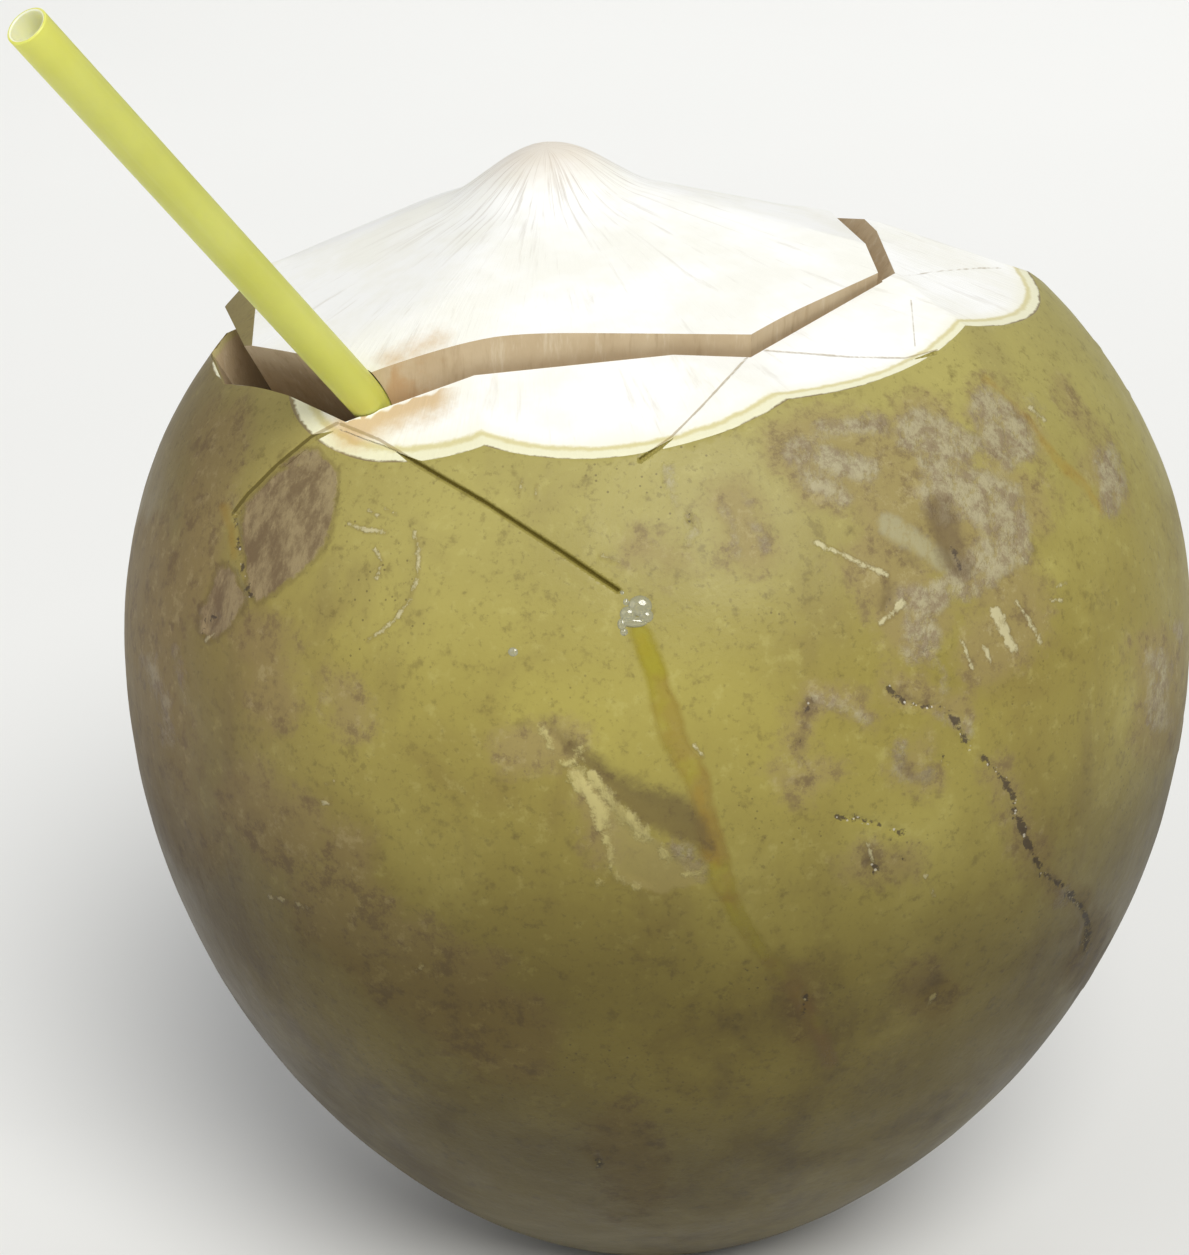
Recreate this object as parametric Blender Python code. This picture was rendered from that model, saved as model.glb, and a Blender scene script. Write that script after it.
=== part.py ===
"""A green drinking coconut: the fruit with its mouth cut open, the loose lid and the straw.

Metres, +Z up, origin at the centre of the small flat spot that the fruit rests on.
The side with the wide front of the mouth faces -Y.
"""

import math

import bmesh
import bpy
from mathutils import Matrix, Vector

# Fruit body: a round profile about the Z axis, widest at EQUATOR_HEIGHT.
EQUATOR_RADIUS = 0.0845
EQUATOR_HEIGHT = 0.1035
LOWER_LENGTH = 0.1108
LOWER_ROUND = 1.95
LOWER_POWER = 0.64
UPPER_LENGTH = 0.092
UPPER_ROUND = 2.44
UPPER_POWER = 0.85
LOBE_DEPTH = 0.020
LOBE_TURN = math.radians(-56.0)
SKIN_SEGMENTS = 84
SKIN_RINGS = 46

# Hollow that held the water.
HOLLOW_RADIUS = 0.050
HOLLOW_HALF_HEIGHT = 0.055
HOLLOW_CENTRE = -0.008
HOLLOW_SEGMENTS = 44
HOLLOW_RINGS = 24

# Knife shaves on the crown: tilt from level, side the shave leans toward
# (degrees from the front toward +X), and height above the widest section at the axis.
SHAVE_LEFT_FRONT = (32.8, -35.7, 0.0933)
SHAVE_LEFT = (23.9, -87.0, 0.0789)
SHAVE_LEFT_BACK = (27.0, -120.0, 0.0800)
SHAVE_FRONT = (26.3, -10.4, 0.0839)
SHAVE_FRONT_RIGHT = (14.6, 12.4, 0.0734)
SHAVE_RIGHT = (18.0, 77.0, 0.0787)
SHAVE_BACK_RIGHT = (27.0, 137.0, 0.0804)
SHAVE_BACK = (27.0, 175.0, 0.0780)
LID_SHAVE_LEFT_FRONT = (32.8, -35.7, 0.0942)
LID_SHAVE_LEFT = (26.8, -80.0, 0.0813)
LID_SHAVE_LEFT_BACK = (27.0, -116.0, 0.0816)
LID_SHAVE_FRONT = (13.6, -4.7, 0.0714)
LID_SHAVE_FRONT_RIGHT = (11.8, 16.0, 0.0709)
LID_SHAVE_RIGHT = (10.7, 118.5, 0.0683)
LID_SHAVE_BACK = (25.2, 165.0, 0.0702)

# Knob of old stalk at the lid's apex.
KNOB_X = -0.0206
KNOB_Y = 0.0026
KNOB_RISE = 0.0027
KNOB_TOP_RADIUS = 0.0025
KNOB_FOOT_RADIUS = 0.0160
KNOB_RINGS = (0.0028, 0.0060, 0.0095, 0.0130, 0.0165)
KNOB_SIDES = 16

# Chops round the mouth: outward direction and one point on the cut,
# heights measured from the widest section.
CHOP_FRONT = ((0.032, -0.995, -0.087), (0.0125, -0.0461, 0.0626))
CHOP_FRONT_RIGHT = ((0.742, -0.671, -0.010), (0.0125, -0.0461, 0.0626))
CHOP_RIGHT = ((0.988, 0.156, -0.030), (0.0342, -0.0218, 0.0650))
CHOP_BACK = ((0.350, 0.930, -0.120), (0.0200, 0.0360, 0.0600))
CHOP_BACK_LEFT = ((-0.600, 0.750, -0.380), (-0.0450, 0.0280, 0.0520))
CHOP_LEFT = ((-0.840, -0.215, -0.500), (-0.0688, -0.0050, 0.0480))
CHOP_LEFT_FRONT = ((-0.603, -0.542, -0.583), (-0.0451, -0.0480, 0.0525))
MOUTH_FLOOR = 0.004

# Lid: how much smaller than the mouth it was trimmed at each chop (same order as the
# chops), then how it sits, pushed back and raised on its left by the straw.
LID_TRIMS = (0.0, 0.0020, 0.0044, 0.0034, 0.0004, 0.0, 0.0)
LID_FLOOR = 0.026
LID_TILT = math.radians(2.6)
LID_PIVOT = (0.0125, 0.0, 0.0600)
LID_MOVE = (0.0028, 0.0016, 0.0033)

# Straw: outside and bore radii, the point where it passes the rim, the way it leans.
STRAW_RADIUS = 0.0029
STRAW_BORE_RADIUS = 0.0024
STRAW_RIM_POINT = (-0.0407, -0.0430, 0.0518)
STRAW_LEAN = (-0.450, -0.500, 0.740)
STRAW_OUTSIDE = 0.0885
STRAW_INSIDE = 0.1110
STRAW_SEGMENTS = 28
STRAW_CLEARANCE = 0.00036


def clear_scene():
    """Remove whatever the scene holds."""
    for item in list(bpy.data.objects):
        bpy.data.objects.remove(item, do_unlink=True)


def profile_radius(height, turn):
    """Radius of the whole fruit at a height above the widest section and a turn from the front."""
    if height < 0.0:
        base = 1.0 - min(abs(height / LOWER_LENGTH), 1.0) ** LOWER_ROUND
        scale = max(base, 0.0) ** LOWER_POWER
    else:
        base = 1.0 - min(height / UPPER_LENGTH, 1.0) ** UPPER_ROUND
        scale = max(base, 0.0) ** UPPER_POWER
    lobes = 1.0 + LOBE_DEPTH * math.cos(3.0 * (turn - LOBE_TURN))
    return EQUATOR_RADIUS * scale * lobes


def ring_heights():
    """Heights of the rings, closer together where the fruit turns in."""
    heights = []
    for step in range(1, SKIN_RINGS):
        angle = -0.5 * math.pi + math.pi * step / SKIN_RINGS
        reach = UPPER_LENGTH if angle > 0.0 else LOWER_LENGTH
        heights.append(reach * math.sin(angle))
    return heights


def plane_of_shave(shave):
    """Normal and a point, in row coordinates, of one knife shave."""
    tilt = math.radians(shave[0])
    side = math.radians(shave[1])
    normal = Vector((
        math.sin(tilt) * math.sin(side),
        -math.sin(tilt) * math.cos(side),
        math.cos(tilt),
    ))
    return normal, Vector((0.0, 0.0, shave[2] + EQUATOR_HEIGHT))


def plane_of_chop(chop, inset):
    """Normal and a point, in row coordinates, of one chop, moved inward by inset."""
    normal = Vector(chop[0]).normalized()
    point = Vector(chop[1]) + Vector((0.0, 0.0, EQUATOR_HEIGHT))
    return normal, point - normal * inset


def slice_away(mesh, point, normal):
    """Cut the closed mesh by a plane, drop the side the normal points to, close the cut."""
    geometry = mesh.verts[:] + mesh.edges[:] + mesh.faces[:]
    cut = bmesh.ops.bisect_plane(
        mesh,
        geom=geometry,
        dist=0.000001,
        plane_co=point,
        plane_no=normal,
        clear_outer=True,
        clear_inner=False,
    )
    rim = [item for item in cut["geom_cut"] if isinstance(item, bmesh.types.BMEdge)]
    if rim:
        bmesh.ops.contextual_create(mesh, geom=rim)


def finish_object(name, mesh, material):
    """Turn a bmesh into a named object, smooth over its round parts and crisp at its cuts."""
    bmesh.ops.recalc_face_normals(mesh, faces=mesh.faces[:])
    data = bpy.data.meshes.new(name)
    mesh.to_mesh(data)
    mesh.free()
    item = bpy.data.objects.new(name, data)
    bpy.context.scene.collection.objects.link(item)
    if material is not None:
        data.materials.append(material)
    return item


def make_material(name, colour, roughness):
    """A plain surface colour for one piece."""
    material = bpy.data.materials.new(name)
    material.use_nodes = True
    shader = material.node_tree.nodes["Principled BSDF"]
    shader.inputs["Base Color"].default_value = (*colour, 1.0)
    shader.inputs["Roughness"].default_value = roughness
    shader.inputs["Metallic"].default_value = 0.0
    return material


def fruit_blank(name, shaves, material):
    """The whole fruit, with its resting spot and the given shaves cut flat."""
    mesh = bmesh.new()
    rings = []
    for height in ring_heights():
        ring = []
        for step in range(SKIN_SEGMENTS):
            turn = 2.0 * math.pi * step / SKIN_SEGMENTS
            radius = profile_radius(height, turn)
            place = (
                radius * math.sin(turn),
                -radius * math.cos(turn),
                height + EQUATOR_HEIGHT,
            )
            ring.append(mesh.verts.new(place))
        rings.append(ring)
    bottom = mesh.verts.new((0.0, 0.0, EQUATOR_HEIGHT - LOWER_LENGTH))
    top = mesh.verts.new((0.0, 0.0, EQUATOR_HEIGHT + UPPER_LENGTH))
    for lower, upper in zip(rings, rings[1:]):
        for step in range(SKIN_SEGMENTS):
            after = (step + 1) % SKIN_SEGMENTS
            mesh.faces.new((lower[step], lower[after], upper[after], upper[step]))
    for step in range(SKIN_SEGMENTS):
        after = (step + 1) % SKIN_SEGMENTS
        mesh.faces.new((bottom, rings[0][after], rings[0][step]))
        mesh.faces.new((top, rings[-1][step], rings[-1][after]))
    slice_away(mesh, Vector((0.0, 0.0, 0.0)), Vector((0.0, 0.0, -1.0)))
    for shave in shaves:
        normal, point = plane_of_shave(shave)
        slice_away(mesh, point, normal)
    return finish_object(name, mesh, material)


def chop_block(name, trims, floor):
    """The block of fruit inside the chops, reaching down to a floor height."""
    mesh = bmesh.new()
    bmesh.ops.create_cube(mesh, size=1.0)
    bmesh.ops.scale(mesh, verts=mesh.verts[:], vec=(0.24, 0.24, 0.20))
    lift = EQUATOR_HEIGHT + floor + 0.10
    bmesh.ops.translate(mesh, verts=mesh.verts[:], vec=(0.0, 0.0, lift))
    chops = (
        CHOP_FRONT,
        CHOP_FRONT_RIGHT,
        CHOP_RIGHT,
        CHOP_BACK,
        CHOP_BACK_LEFT,
        CHOP_LEFT,
        CHOP_LEFT_FRONT,
    )
    for chop, trim in zip(chops, trims):
        normal, point = plane_of_chop(chop, trim)
        slice_away(mesh, point, normal)
    return finish_object(name, mesh, None)


def hollow_form(name):
    """The shape of the hollow inside the fruit."""
    mesh = bmesh.new()
    bmesh.ops.create_uvsphere(
        mesh,
        u_segments=HOLLOW_SEGMENTS,
        v_segments=HOLLOW_RINGS,
        radius=1.0,
    )
    size = (HOLLOW_RADIUS, HOLLOW_RADIUS, HOLLOW_HALF_HEIGHT)
    bmesh.ops.scale(mesh, verts=mesh.verts[:], vec=size)
    centre = (0.0, 0.0, EQUATOR_HEIGHT + HOLLOW_CENTRE)
    bmesh.ops.translate(mesh, verts=mesh.verts[:], vec=centre)
    return finish_object(name, mesh, None)


def straw_frame():
    """Middle of the straw, its turn and its two ends' distances from the rim point."""
    lean = Vector(STRAW_LEAN).normalized()
    turn = lean.to_track_quat("Z", "X").to_matrix().to_4x4()
    point = Vector(STRAW_RIM_POINT) + Vector((0.0, 0.0, EQUATOR_HEIGHT))
    return Matrix.Translation(point) @ turn


def straw_rod(name, radius, reach_down, reach_up, segments):
    """A round rod lying on the straw's axis."""
    mesh = bmesh.new()
    bmesh.ops.create_cone(
        mesh,
        cap_ends=True,
        cap_tris=False,
        segments=segments,
        radius1=radius,
        radius2=radius,
        depth=reach_up + reach_down,
    )
    middle = Matrix.Translation((0.0, 0.0, 0.5 * (reach_up - reach_down)))
    bmesh.ops.transform(mesh, matrix=straw_frame() @ middle, verts=mesh.verts[:])
    return finish_object(name, mesh, None)


def make_straw(material):
    """The straw: one thin round tube, open at both ends."""
    mesh = bmesh.new()
    loops = []
    for radius, along in (
        (STRAW_RADIUS, -STRAW_INSIDE),
        (STRAW_RADIUS, STRAW_OUTSIDE),
        (STRAW_BORE_RADIUS, STRAW_OUTSIDE),
        (STRAW_BORE_RADIUS, -STRAW_INSIDE),
    ):
        loop = []
        for step in range(STRAW_SEGMENTS):
            turn = 2.0 * math.pi * step / STRAW_SEGMENTS
            place = (radius * math.cos(turn), radius * math.sin(turn), along)
            loop.append(mesh.verts.new(place))
        loops.append(loop)
    for near, far in zip(loops, loops[1:] + loops[:1]):
        for step in range(STRAW_SEGMENTS):
            after = (step + 1) % STRAW_SEGMENTS
            mesh.faces.new((near[step], near[after], far[after], far[step]))
    bmesh.ops.transform(mesh, matrix=straw_frame(), verts=mesh.verts[:])
    return finish_object("straw", mesh, material)


def combine(item, cutter, operation):
    """Cut or keep with another shape and settle the result into the mesh."""
    step = item.modifiers.new(cutter.name, "BOOLEAN")
    step.operation = operation
    step.solver = "EXACT"
    step.object = cutter
    cutter.hide_render = True
    cutter.display_type = "WIRE"
    bpy.context.view_layer.update()
    graph = bpy.context.evaluated_depsgraph_get()
    settled = bpy.data.meshes.new_from_object(item.evaluated_get(graph))
    item.modifiers.clear()
    item.data = settled
    settled.name = item.name


def cut_across_top(mesh, wedge, point, normal):
    """Score the lid's top faces, within a wedge if one is given, along an upright plane."""
    faces = [face for face in mesh.faces if face.normal.z > 0.8]
    if wedge is not None:
        faces = [face for face in faces if is_in_wedge(face, wedge)]
    edges = {edge for face in faces for edge in face.edges}
    verts = {vert for face in faces for vert in face.verts}
    bmesh.ops.bisect_plane(
        mesh,
        geom=list(verts) + list(edges) + faces,
        dist=0.00002,
        plane_co=point,
        plane_no=normal,
    )


def is_in_wedge(face, angle):
    """Whether a face lies in the wedge of the knob's rings round one direction."""
    middle = face.calc_center_median()
    turned = math.atan2(middle.y - KNOB_Y, middle.x - KNOB_X) - angle
    turned = (turned + math.pi) % (2.0 * math.pi) - math.pi
    return abs(turned) < 0.98 * math.pi / KNOB_SIDES


def raise_knob(item):
    """Swell the middle of the lid's top into the low knob of old stalk."""
    mesh = bmesh.new()
    mesh.from_mesh(item.data)
    centre = Vector((KNOB_X, KNOB_Y, 0.0))
    for step in range(KNOB_SIDES // 2):
        angle = 2.0 * math.pi * step / KNOB_SIDES
        across = Vector((math.cos(angle), math.sin(angle), 0.0))
        cut_across_top(mesh, None, centre, across)
    for ring in KNOB_RINGS:
        for step in range(KNOB_SIDES):
            angle = 2.0 * math.pi * step / KNOB_SIDES + 0.5 * math.pi
            angle += math.pi / KNOB_SIDES
            across = Vector((math.cos(angle), math.sin(angle), 0.0))
            cut_across_top(mesh, angle, centre + across * ring, across)
    for vert in mesh.verts:
        away = (Vector((vert.co.x, vert.co.y, 0.0)) - centre).length
        if vert.co.z < EQUATOR_HEIGHT + 0.060 or away > KNOB_FOOT_RADIUS:
            continue
        share = (away - KNOB_TOP_RADIUS) / (KNOB_FOOT_RADIUS - KNOB_TOP_RADIUS)
        share = min(max(share, 0.0), 1.0)
        vert.co.z += KNOB_RISE * (1.0 - share * share * (3.0 - 2.0 * share))
    mesh.to_mesh(item.data)
    mesh.free()


def settle_lid():
    """How the lid moved from its place in the mouth to where it rests."""
    pivot = Vector(LID_PIVOT) + Vector((0.0, 0.0, EQUATOR_HEIGHT))
    turn = Matrix.Rotation(LID_TILT, 4, "Y")
    about = Matrix.Translation(pivot) @ turn @ Matrix.Translation(-pivot)
    return Matrix.Translation(Vector(LID_MOVE)) @ about


def crisp_edges(item):
    """Shade smoothly, with crisp lines where the surface turns sharply."""
    mesh = bmesh.new()
    mesh.from_mesh(item.data)
    bmesh.ops.recalc_face_normals(mesh, faces=mesh.faces[:])
    for face in mesh.faces:
        face.smooth = True
    for edge in mesh.edges:
        edge.smooth = edge.calc_face_angle(0.0) < math.radians(24.0)
    mesh.to_mesh(item.data)
    mesh.free()


def main():
    """Build the three pieces."""
    clear_scene()
    skin = make_material("green_skin", (0.30, 0.26, 0.085), 0.5)
    flesh = make_material("shaved_white", (0.86, 0.83, 0.76), 0.6)
    plastic = make_material("straw_plastic", (0.60, 0.61, 0.16), 0.3)

    husk = fruit_blank(
        "husk",
        (
            SHAVE_LEFT_FRONT,
            SHAVE_LEFT,
            SHAVE_LEFT_BACK,
            SHAVE_FRONT,
            SHAVE_FRONT_RIGHT,
            SHAVE_RIGHT,
            SHAVE_BACK_RIGHT,
            SHAVE_BACK,
        ),
        skin,
    )
    lid = fruit_blank(
        "lid",
        (
            LID_SHAVE_LEFT_FRONT,
            LID_SHAVE_LEFT,
            LID_SHAVE_LEFT_BACK,
            LID_SHAVE_FRONT,
            LID_SHAVE_FRONT_RIGHT,
            LID_SHAVE_RIGHT,
            LID_SHAVE_BACK,
        ),
        flesh,
    )
    mouth = chop_block("mouth_cutter", (0.0,) * 7, MOUTH_FLOOR)
    plug = chop_block("plug_keeper", LID_TRIMS, LID_FLOOR)
    hollow = hollow_form("hollow_cutter")
    channel = straw_rod(
        "straw_channel_cutter",
        STRAW_RADIUS + STRAW_CLEARANCE,
        STRAW_INSIDE,
        0.020,
        STRAW_SEGMENTS,
    )
    combine(husk, mouth, "DIFFERENCE")
    combine(husk, hollow, "DIFFERENCE")
    combine(husk, channel, "DIFFERENCE")

    combine(lid, plug, "INTERSECT")
    combine(lid, hollow, "DIFFERENCE")
    raise_knob(lid)
    lid.data.transform(settle_lid())
    combine(lid, channel, "DIFFERENCE")

    make_straw(plastic)
    for cutter in (mouth, plug, hollow, channel):
        bpy.data.objects.remove(cutter, do_unlink=True)
    for name in ("husk", "lid", "straw"):
        crisp_edges(bpy.data.objects[name])


main()
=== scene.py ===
# %% [markdown]
# # A green drinking coconut
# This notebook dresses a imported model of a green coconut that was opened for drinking: the
# fruit, the loose lid in its mouth and a straw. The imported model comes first, because every
# piece made here has to sit exactly where the solid pieces are.

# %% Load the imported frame
import math

import bmesh
import bpy
import numpy as np
from mathutils import Matrix, Vector, noise


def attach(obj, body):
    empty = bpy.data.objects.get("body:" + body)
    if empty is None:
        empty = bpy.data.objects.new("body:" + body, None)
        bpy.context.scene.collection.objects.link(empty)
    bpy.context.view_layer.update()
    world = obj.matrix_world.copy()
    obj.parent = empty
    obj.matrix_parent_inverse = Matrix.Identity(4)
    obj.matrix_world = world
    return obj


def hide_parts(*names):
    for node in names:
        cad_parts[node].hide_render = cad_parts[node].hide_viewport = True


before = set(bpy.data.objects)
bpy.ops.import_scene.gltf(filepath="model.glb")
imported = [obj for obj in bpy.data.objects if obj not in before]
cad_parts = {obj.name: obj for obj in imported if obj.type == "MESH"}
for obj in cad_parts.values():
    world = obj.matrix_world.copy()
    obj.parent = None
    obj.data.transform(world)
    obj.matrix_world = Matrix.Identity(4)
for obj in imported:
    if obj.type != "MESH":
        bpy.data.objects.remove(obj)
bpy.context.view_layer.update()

# %% [markdown]
# ## Sizes
# A coconut is nearly round about its upright axis, so one curve of radius against height
# gives its whole form, with three faint lobes for the three faces that every coconut has.
# The knife work is flat: shaves on the crown and steep chops round the mouth. Each flat is
# kept as a direction and a height, which is easier to adjust than a list of corners.

# %% Fruit sizes in metres, heights counted from the widest section
# LOWER and UPPER are each a height and the two powers of the curve. HOLLOW is half a width,
# half a height and the height of its middle.
EQUATOR_RADIUS = 0.0845
EQUATOR_HEIGHT = 0.1035
LOWER = (0.1108, 1.95, 0.64)
UPPER = (0.0920, 2.44, 0.85)
LOBE_DEPTH = 0.020
LOBE_TURN = math.radians(-56.0)
HOLLOW = (0.050, 0.055, -0.008)
print("fruit is about", round(2000 * EQUATOR_RADIUS), "mm wide")

# %% Shaves on the crown: tilt, side it leans to (degrees from the front), height on the axis
HUSK_SHAVES = {
    "left front": (32.8, -35.7, 0.0933),
    "left": (23.9, -87.0, 0.0789),
    "left back": (27.0, -120.0, 0.0800),
    "front": (26.3, -10.4, 0.0839),
    "front right": (14.6, 12.4, 0.0734),
    "right": (18.0, 77.0, 0.0787),
    "back right": (27.0, 137.0, 0.0804),
    "back": (27.0, 175.0, 0.0780),
    "corner": (8.0, -90.0, 0.0631),
}
LID_SHAVES = {
    "left front": (32.8, -35.7, 0.0942),
    "left": (26.8, -80.0, 0.0821),
    "left back": (27.0, -116.0, 0.0828),
    "front": (13.6, -4.7, 0.0714),
    "front right": (11.8, 16.0, 0.0709),
    "right": (10.7, 118.5, 0.0694),
    "back": (25.2, 165.0, 0.0713),
}
LID_END = (40.0, -82.6, 0.1037)
print(len(HUSK_SHAVES), "shaves on the fruit,", len(LID_SHAVES), "on the lid")

# %% Chops round the mouth: outward direction and a point on the cut, then how far each is moved in
CHOPS = (
    ((0.032, -0.995, -0.087), (0.0125, -0.0461, 0.0626)),
    ((0.742, -0.671, -0.010), (0.0125, -0.0461, 0.0626)),
    ((0.988, 0.156, -0.030), (0.0342, -0.0218, 0.0650)),
    ((0.350, 0.930, -0.120), (0.0200, 0.0360, 0.0600)),
    ((-0.600, 0.750, -0.380), (-0.0450, 0.0280, 0.0520)),
    ((-0.840, -0.215, -0.500), (-0.0688, -0.0050, 0.0480)),
    ((-0.603, -0.542, -0.583), (-0.0451, -0.0480, 0.0525)),
)
MOUTH_TRIMS = (0.0, 0.0, 0.0015, 0.0, 0.0, 0.0, 0.0)
LID_TRIMS = (0.0, 0.0020, 0.0052, 0.0034, 0.0004, 0.0, 0.0)
BEVEL = ((0.800, 0.126, -0.585), (0.0352, -0.0216, 0.0661))
BEVEL_TRIMS = (0.0003, 0.0003, 0.0, 0.0003, 0.0003, 0.0003, 0.0003)
BEVEL_FLOOR = 0.0560
MOUTH_FLOOR = 0.004
LID_FLOOR = 0.026
print(len(CHOPS), "chops make the mouth")

# %% Where the lid and the straw sit
LID_PIVOT = Vector((0.0125, 0.0, 0.0600 + EQUATOR_HEIGHT))
LID_SETTLE = (
    Matrix.Translation((0.0028, 0.0016, 0.0033))
    @ Matrix.Translation(LID_PIVOT)
    @ Matrix.Rotation(math.radians(2.6), 4, "Y")
    @ Matrix.Translation(-LID_PIVOT)
)
KNOB_PLACE = (-0.0206, 0.0026)
KNOB_RISE = 0.0036
KNOB_REACH = (0.0030, 0.0170)  # full height within the first radius, none past the second
LID_ROUNDS = 48
STRAW_POINT = Vector((-0.0407, -0.0430, 0.0518 + EQUATOR_HEIGHT))
STRAW_LEAN = Vector((-0.450, -0.500, 0.740)).normalized()
STRAW_REACH = (0.1110, 0.0885)  # how far it runs down and up from its point
STRAW_RADIUS = 0.0029
STRAW_BORE = 0.0024
print("straw length", round(1000 * sum(STRAW_REACH)), "mm")

# %% Name the finishes, so that each face can be given its own as it is made
SKIN = bpy.data.materials.new("green_skin")
SHAVED = bpy.data.materials.new("shaved_face")
SHAVED_LID = bpy.data.materials.new("shaved_face_lid")
CHOPPED = bpy.data.materials.new("chopped_wall")
FLESH = bpy.data.materials.new("young_flesh")
STRAW = bpy.data.materials.new("straw_plastic")
print("finishes:", [m.name for m in (SKIN, SHAVED, SHAVED_LID, CHOPPED, FLESH, STRAW)])

# %% [markdown]
# ## The camera
# The camera looks down at the fruit by 22 degrees from about half a metre, through a long
# lens. It is made before the pieces because the blemishes on the skin are placed from where
# they are seen: each is a few points in the picture, carried back onto the fruit.

# %% Camera
PICTURE = (1189, 1255)
FOCAL_PIXELS = 3410.0
LOOK_DOWN = math.radians(22.0)
TARGET = Vector((-0.0096, 0.0, EQUATOR_HEIGHT + 0.001))
EYE_DISTANCE = 0.55
PIXELS_PER_MM = 6.2
EYE = TARGET + EYE_DISTANCE * Vector((0.0, -math.cos(LOOK_DOWN), math.sin(LOOK_DOWN)))

lens = bpy.data.cameras.new("camera")
lens.sensor_width = 36.0
lens.lens = 36.0 * FOCAL_PIXELS / max(PICTURE)
lens.clip_start = 0.01
camera = bpy.data.objects.new("camera", lens)
camera.location = EYE
camera.rotation_euler = (math.pi / 2 - LOOK_DOWN, 0.0, 0.0)
bpy.context.scene.collection.objects.link(camera)
bpy.context.scene.camera = camera
print("lens", round(lens.lens, 1), "mm, eye", tuple(round(x, 3) for x in EYE))


# %% Where points of the fruit are seen in the picture, for any turn of the fruit
def seen_at(points, turn=0.0):
    """Picture coordinates of an array of points, the fruit turned about Z first."""
    c, s = math.cos(turn), math.sin(turn)
    x = c * points[:, 0] - s * points[:, 1] - EYE.x
    y = s * points[:, 0] + c * points[:, 1] - EYE.y
    z = points[:, 2] - EYE.z
    ahead = math.cos(LOOK_DOWN) * y - math.sin(LOOK_DOWN) * z
    above = math.sin(LOOK_DOWN) * y + math.cos(LOOK_DOWN) * z
    across = PICTURE[0] / 2 + FOCAL_PIXELS * x / ahead
    down = PICTURE[1] / 2 - FOCAL_PIXELS * above / ahead
    return np.stack([across, down], 1), ahead


middle = np.array([[0.0, 0.0, EQUATOR_HEIGHT]])
print("the fruit's middle is seen at", seen_at(middle)[0].round())


# %% The fruit's curve
def fruit_radius(height, turn):
    """Radius of the uncut fruit at a height from the widest section, and a turn from the front."""
    low = np.clip(1 - np.abs(np.minimum(height, 0) / LOWER[0]) ** LOWER[1], 0, None) ** LOWER[2]
    high = np.clip(1 - (np.maximum(height, 0) / UPPER[0]) ** UPPER[1], 0, None) ** UPPER[2]
    lobes = 1 + LOBE_DEPTH * np.cos(3 * (turn - LOBE_TURN))
    return EQUATOR_RADIUS * np.where(height < 0, low, high) * lobes


print("radius 50 mm up:", round(float(fruit_radius(0.05, 0.0)) * 1000, 1), "mm")

# %% [markdown]
# ## Blemishes
# A real fruit is scuffed, cut and stained. Each blemish is a stroke or a patch: a few points
# in the picture, a width in millimetres, and a kind. The kind decides its colour and its
# relief later. Keeping them as strokes, not as a picture, means that they stay sharp at any
# distance and can be moved one by one.

# %% How a stroke and a patch are written
def strokes(*rows):
    """Each row is half a width in millimetres, then picture points: across, down, and so on."""
    return [(row[0], list(zip(row[1::2], row[2::2]))) for row in rows]


def ring(*numbers):
    """The corners of a patch, from across, down, across, down and so on."""
    return list(zip(numbers[0::2], numbers[1::2]))


STROKES = {}
PATCHES = {}
print("strokes and patches can be written")

# %% Knife lines, dark cracks and pale scratches on the front
STROKES["slit"] = strokes(
    (0.26, 341, 424, 380, 440, 421, 465, 485, 502, 559, 550, 618, 590),
    (0.28, 337, 423, 311, 437, 277, 465, 248, 494, 233, 513),
    (0.17, 752, 352, 728, 378, 700, 408, 672, 436, 640, 459),
    (0.13, 760, 350, 800, 353, 850, 357, 905, 358, 937, 350),
    (0.07, 905, 276, 940, 271, 979, 268, 1001, 268), (0.07, 911, 300, 913, 322, 915, 346),
)
STROKES["dark"] = strokes(
    (0.4, 889, 688, 900, 700, 919, 706, 941, 707, 952, 718, 962, 733, 969, 748),
    (0.34, 983, 757, 994, 768, 1004, 780), (0.52, 1004, 780, 1012, 798, 1018, 822, 1030, 846),
    (0.4, 1030, 846, 1041, 872, 1063, 886), (0.52, 1068, 893, 1081, 906, 1089, 926, 1084, 950),
    (0.42, 838, 817, 858, 820, 879, 824), (0.5, 890, 829, 901, 833), (0.55, 872, 866, 875, 872),
    (0.35, 903, 860, 906, 863), (0.38, 943, 758, 946, 764), (0.3, 952, 548, 957, 560, 961, 570),
    (0.4, 597, 1160, 599, 1164), (0.25, 806, 994, 803, 1012), (0.3, 688, 514, 691, 522),
    (0.26, 213, 617, 204, 626, 203, 633), (0.16, 228, 500, 236, 530, 242, 566, 250, 596),
    (0.2, 889, 600, 887, 612), (0.2, 925, 652, 935, 648), (0.3, 810, 700, 806, 708),
    (0.26, 799, 742, 796, 750),
)
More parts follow.
